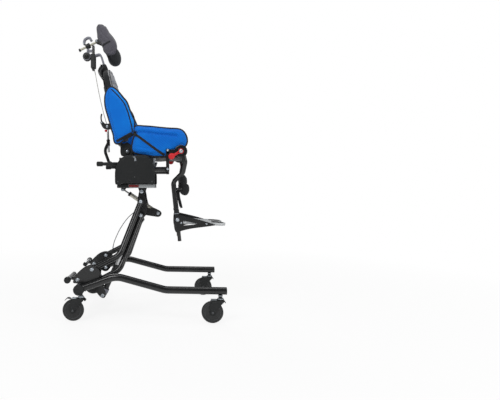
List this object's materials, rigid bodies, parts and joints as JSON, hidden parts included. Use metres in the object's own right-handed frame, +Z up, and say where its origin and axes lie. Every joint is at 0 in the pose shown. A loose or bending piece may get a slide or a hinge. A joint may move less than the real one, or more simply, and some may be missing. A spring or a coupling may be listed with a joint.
{
  "type": "special needs stroller",
  "caption": "Child's special needs seat on a castor base with a four-bar height lift, tilting seat, reclining back, head support and folding footplate.",
  "frame": {"origin": "on the floor, under the middle of the whole object with the seat raised", "axes": "+X the way the child faces, +Y to the child's left, +Z up"},
  "size_m": [0.7842, 0.6, 1.495],
  "materials": {
    "rear_cross_tube": "satin",
    "side_rail_right": "satin",
    "side_rail_left": "satin",
    "base_bracket_right": "satin",
    "base_bracket_left": "satin",
    "castor_fork_rear_right": "satin",
    "castor_wheel_rear_right": "matt",
    "castor_fork_rear_left": "satin",
    "castor_wheel_rear_left": "matt",
    "castor_fork_front_right": "satin",
    "castor_wheel_front_right": "matt",
    "castor_fork_front_left": "satin",
    "castor_wheel_front_left": "matt",
    "castor_brake_right": "satin",
    "castor_brake_left": "satin",
    "foot_pedal_right": "satin",
    "foot_pedal_left": "satin",
    "upper_arm_right": "satin",
    "upper_arm_left": "satin",
    "release_cable": "satin",
    "lower_arm_right": "satin",
    "lower_arm_left": "satin",
    "arm_bridge": "satin",
    "carrier_bracket": "satin",
    "lift_cylinder": "satin",
    "lift_rod": "satin",
    "seat_tray": "satin",
    "side_cover_right": "matt",
    "side_cover_left": "matt",
    "seat_frame": "satin",
    "push_handle_right": "matt",
    "push_handle_left": "matt",
    "seat_shell": "matt",
    "seat_cushion": "woven",
    "seat_wing_right": "woven",
    "seat_wing_left": "woven",
    "tilt_spring_tube": "satin",
    "tilt_spring_rod": "satin",
    "back_shell": "matt",
    "back_cushion": "woven",
    "back_wing_right": "woven",
    "back_wing_left": "woven",
    "recline_strut": "satin",
    "recline_rod": "satin",
    "recline_lever": "satin",
    "head_post": "satin",
    "head_clamp": "satin",
    "head_bar": "satin",
    "head_cam_lever": "satin",
    "head_pad": "woven",
    "leg_hanger_right": "satin",
    "leg_hanger_left": "satin",
    "calf_support": "woven",
    "leg_slider_right": "satin",
    "leg_slider_left": "satin",
    "footplate": "satin",
    "foot_bracket_right": "satin",
    "foot_bracket_left": "satin",
    "knee_lever_right": "gloss",
    "knee_lever_left": "gloss"
  },
  "bodies": {
    "base": {"rear_cross_tube": "rear_cross_tube", "side_rail_right": "side_rail_right", "side_rail_left": "side_rail_left", "base_bracket_right": "base_bracket_right", "base_bracket_left": "base_bracket_left"},
    "castor_rear_right": {"castor_fork_rear_right": "castor_fork_rear_right"},
    "wheel_rear_right": {"castor_wheel_rear_right": "castor_wheel_rear_right"},
    "castor_rear_left": {"castor_fork_rear_left": "castor_fork_rear_left"},
    "wheel_rear_left": {"castor_wheel_rear_left": "castor_wheel_rear_left"},
    "castor_front_right": {"castor_fork_front_right": "castor_fork_front_right"},
    "wheel_front_right": {"castor_wheel_front_right": "castor_wheel_front_right"},
    "castor_front_left": {"castor_fork_front_left": "castor_fork_front_left"},
    "wheel_front_left": {"castor_wheel_front_left": "castor_wheel_front_left"},
    "brake_right": {"castor_brake_right": "castor_brake_right"},
    "brake_left": {"castor_brake_left": "castor_brake_left"},
    "pedal_right": {"foot_pedal_right": "foot_pedal_right"},
    "pedal_left": {"foot_pedal_left": "foot_pedal_left"},
    "lift_arm_right": {"upper_arm_right": "upper_arm_right"},
    "lift_arm_left": {"upper_arm_left": "upper_arm_left", "release_cable": "release_cable"},
    "lower_arms": {"lower_arm_right": "lower_arm_right", "lower_arm_left": "lower_arm_left", "arm_bridge": "arm_bridge"},
    "carrier": {"carrier_bracket": "carrier_bracket"},
    "lift_cylinder": {"lift_cylinder": "lift_cylinder"},
    "lift_rod": {"lift_rod": "lift_rod"},
    "seat_unit": {"seat_tray": "seat_tray", "side_cover_right": "side_cover_right", "side_cover_left": "side_cover_left", "seat_frame": "seat_frame", "push_handle_right": "push_handle_right", "push_handle_left": "push_handle_left", "seat_shell": "seat_shell", "seat_cushion": "seat_cushion", "seat_wing_right": "seat_wing_right", "seat_wing_left": "seat_wing_left"},
    "tilt_spring_tube": {"tilt_spring_tube": "tilt_spring_tube"},
    "tilt_spring_rod": {"tilt_spring_rod": "tilt_spring_rod"},
    "backrest": {"back_shell": "back_shell", "back_cushion": "back_cushion", "back_wing_right": "back_wing_right", "back_wing_left": "back_wing_left"},
    "recline_strut": {"recline_strut": "recline_strut"},
    "recline_rod": {"recline_rod": "recline_rod"},
    "recline_lever": {"recline_lever": "recline_lever"},
    "head_mount": {"head_post": "head_post", "head_clamp": "head_clamp"},
    "head_bar": {"head_bar": "head_bar"},
    "head_cam": {"head_cam_lever": "head_cam_lever"},
    "head_rest": {"head_pad": "head_pad"},
    "leg_support": {"leg_hanger_right": "leg_hanger_right", "leg_hanger_left": "leg_hanger_left", "calf_support": "calf_support"},
    "leg_sliders": {"leg_slider_right": "leg_slider_right", "leg_slider_left": "leg_slider_left"},
    "foot_support": {"footplate": "footplate", "foot_bracket_right": "foot_bracket_right", "foot_bracket_left": "foot_bracket_left"},
    "knee_lever_right": {"knee_lever_right": "knee_lever_right"},
    "knee_lever_left": {"knee_lever_left": "knee_lever_left"}
  },
  "joints": [
    {"name": "castor_swivel_rear_right", "type": "hinge", "parent": "base", "child": "castor_rear_right", "pos_m": [-0.30482, -0.27, 0.1], "axis": [0, 0, 1], "continuous": true},
    {"name": "wheel_spin_rear_right", "type": "hinge", "parent": "castor_rear_right", "child": "wheel_rear_right", "pos_m": [-0.34182, -0.27, 0.05], "axis": [0, 1, 0], "continuous": true},
    {"name": "castor_swivel_rear_left", "type": "hinge", "parent": "base", "child": "castor_rear_left", "pos_m": [-0.30482, 0.27, 0.1], "axis": [0, 0, 1], "continuous": true},
    {"name": "wheel_spin_rear_left", "type": "hinge", "parent": "castor_rear_left", "child": "wheel_rear_left", "pos_m": [-0.34182, 0.27, 0.05], "axis": [0, 1, 0], "continuous": true},
    {"name": "castor_swivel_front_right", "type": "hinge", "parent": "base", "child": "castor_front_right", "pos_m": [0.34618, -0.27, 0.1], "axis": [0, 0, 1], "continuous": true},
    {"name": "wheel_spin_front_right", "type": "hinge", "parent": "castor_front_right", "child": "wheel_front_right", "pos_m": [0.30918, -0.27, 0.05], "axis": [0, 1, 0], "continuous": true},
    {"name": "castor_swivel_front_left", "type": "hinge", "parent": "base", "child": "castor_front_left", "pos_m": [0.34618, 0.27, 0.1], "axis": [0, 0, 1], "continuous": true},
    {"name": "wheel_spin_front_left", "type": "hinge", "parent": "castor_front_left", "child": "wheel_front_left", "pos_m": [0.30918, 0.27, 0.05], "axis": [0, 1, 0], "continuous": true},
    {"name": "brake_press_right", "type": "hinge", "parent": "castor_rear_right", "child": "brake_right", "pos_m": [-0.35082, -0.27, 0.103], "axis": [0, 1, 0], "range_deg": [-12, 0]},
    {"name": "brake_press_left", "type": "hinge", "parent": "castor_rear_left", "child": "brake_left", "pos_m": [-0.35082, 0.27, 0.103], "axis": [0, 1, 0], "range_deg": [-12, 0]},
    {"name": "pedal_press_right", "type": "hinge", "parent": "base", "child": "pedal_right", "pos_m": [-0.32682, -0.23, 0.187], "axis": [0, 1, 0], "range_deg": [-16, 0], "stiffness_Nm_per_rad": 6, "springref_deg": 6.88},
    {"name": "pedal_press_left", "type": "hinge", "parent": "base", "child": "pedal_left", "pos_m": [-0.32682, 0.23, 0.187], "axis": [0, 1, 0], "range_deg": [-16, 0], "stiffness_Nm_per_rad": 6, "springref_deg": 6.88},
    {"name": "lift_raise", "type": "hinge", "parent": "base", "child": "lift_arm_right", "pos_m": [-0.25782, -0.23, 0.236], "axis": [0, 1, 0], "range_deg": [0, 62]},
    {"name": "lift_arm_left_turn", "type": "hinge", "parent": "base", "child": "lift_arm_left", "pos_m": [-0.25782, 0.23, 0.236], "axis": [0, 1, 0], "range_deg": [-0.5, 62.5]},
    {"name": "lower_arms_turn", "type": "hinge", "parent": "base", "child": "lower_arms", "pos_m": [-0.25782, 0, 0.166], "axis": [0, 1, 0], "range_deg": [-0.5, 62.5]},
    {"name": "carrier_level", "type": "hinge", "parent": "lift_arm_right", "child": "carrier", "pos_m": [-0.03382, -0.1015, 0.557], "axis": [0, 1, 0], "range_deg": [-62.5, 0.5]},
    {"name": "lift_cylinder_turn", "type": "hinge", "parent": "base", "child": "lift_cylinder", "pos_m": [-0.24082, 0, 0.059], "axis": [0, 1, 0], "range_deg": [-0.5, 53.5]},
    {"name": "lift_rod_slide", "type": "slide", "parent": "lift_cylinder", "child": "lift_rod", "axis": [0.4079, 0, 0.913], "range_m": [-0.0935, 0.0005]},
    {"name": "seat_tilt", "type": "hinge", "parent": "carrier", "child": "seat_unit", "pos_m": [-0.03032, 0, 0.607], "axis": [0, 1, 0], "range_deg": [-25, 0]},
    {"name": "tilt_spring_turn", "type": "hinge", "parent": "carrier", "child": "tilt_spring_tube", "pos_m": [0.05018, 0.045, 0.491], "axis": [0, 1, 0], "range_deg": [-11, 0.5]},
    {"name": "tilt_spring_slide", "type": "slide", "parent": "tilt_spring_tube", "child": "tilt_spring_rod", "axis": [-0.83, 0, 0.5577], "range_m": [-0.0275, 0.0005]},
    {"name": "back_recline", "type": "hinge", "parent": "seat_unit", "child": "backrest", "pos_m": [-0.09982, 0, 0.809], "axis": [0, 1, 0], "range_deg": [-20, 0]},
    {"name": "recline_strut_turn", "type": "hinge", "parent": "seat_unit", "child": "recline_strut", "pos_m": [-0.20782, 0, 0.757], "axis": [0, 1, 0], "range_deg": [-17, 0.5]},
    {"name": "recline_rod_slide", "type": "slide", "parent": "recline_strut", "child": "recline_rod", "axis": [-0.0461, 0, 0.9989], "range_m": [-0.0405, 0.0005]},
    {"name": "recline_lever_pull", "type": "hinge", "parent": "backrest", "child": "recline_lever", "pos_m": [-0.24582, 0, 0.972], "axis": [0, 1, 0], "range_deg": [-14, 0], "stiffness_Nm_per_rad": 0.4, "springref_deg": 8.59},
    {"name": "head_height", "type": "slide", "parent": "backrest", "child": "head_mount", "axis": [0, 0, 1], "range_m": [-0.005, 0.06]},
    {"name": "head_depth", "type": "slide", "parent": "head_mount", "child": "head_bar", "axis": [0.9055, 0, 0.4243], "range_m": [-0.015, 0.025]},
    {"name": "head_cam_flip", "type": "hinge", "parent": "head_mount", "child": "head_cam", "pos_m": [-0.34215, 0, 1.39363], "axis": [0, 1, 0], "range_deg": [-55, 0]},
    {"name": "head_tilt", "type": "hinge", "parent": "head_bar", "child": "head_rest", "pos_m": [-0.27282, 0, 1.4037], "axis": [0, 1, 0], "range_deg": [-15, 8]},
    {"name": "knee_raise", "type": "hinge", "parent": "seat_unit", "child": "leg_support", "pos_m": [0.16618, 0, 0.802], "axis": [0, 1, 0], "range_deg": [-65, 0]},
    {"name": "leg_length", "type": "slide", "parent": "leg_support", "child": "leg_sliders", "axis": [0.1033, 0, -0.9946], "range_m": [0, 0.05]},
    {"name": "footplate_flip", "type": "hinge", "parent": "leg_sliders", "child": "foot_support", "pos_m": [0.15072, 0, 0.468], "axis": [0, 1, 0], "range_deg": [-58, 0]},
    {"name": "knee_lever_lift_right", "type": "hinge", "parent": "seat_unit", "child": "knee_lever_right", "pos_m": [0.16618, -0.201, 0.802], "axis": [0, 1, 0], "range_deg": [0, 24], "stiffness_Nm_per_rad": 0.5, "springref_deg": -8.59},
    {"name": "knee_lever_lift_left", "type": "hinge", "parent": "seat_unit", "child": "knee_lever_left", "pos_m": [0.16618, 0.201, 0.802], "axis": [0, 1, 0], "range_deg": [0, 24], "stiffness_Nm_per_rad": 0.5, "springref_deg": -8.59}
  ],
  "couplings": [
    {"joint": "lift_arm_left_turn", "follows": "lift_raise", "ratio": 1},
    {"joint": "lower_arms_turn", "follows": "lift_raise", "ratio": 1},
    {"joint": "carrier_level", "follows": "lift_raise", "ratio": -1},
    {"joint": "lift_cylinder_turn", "follows": "lift_raise", "ratio": 0.8511},
    {"joint": "lift_rod_slide", "follows": "lift_raise", "m_per_rad": -0.08547},
    {"joint": "tilt_spring_turn", "follows": "seat_tilt", "ratio": 0.4166},
    {"joint": "tilt_spring_slide", "follows": "seat_tilt", "m_per_rad": 0.0612},
    {"joint": "recline_strut_turn", "follows": "back_recline", "ratio": 0.8135},
    {"joint": "recline_rod_slide", "follows": "back_recline", "m_per_rad": 0.114}
  ]
}
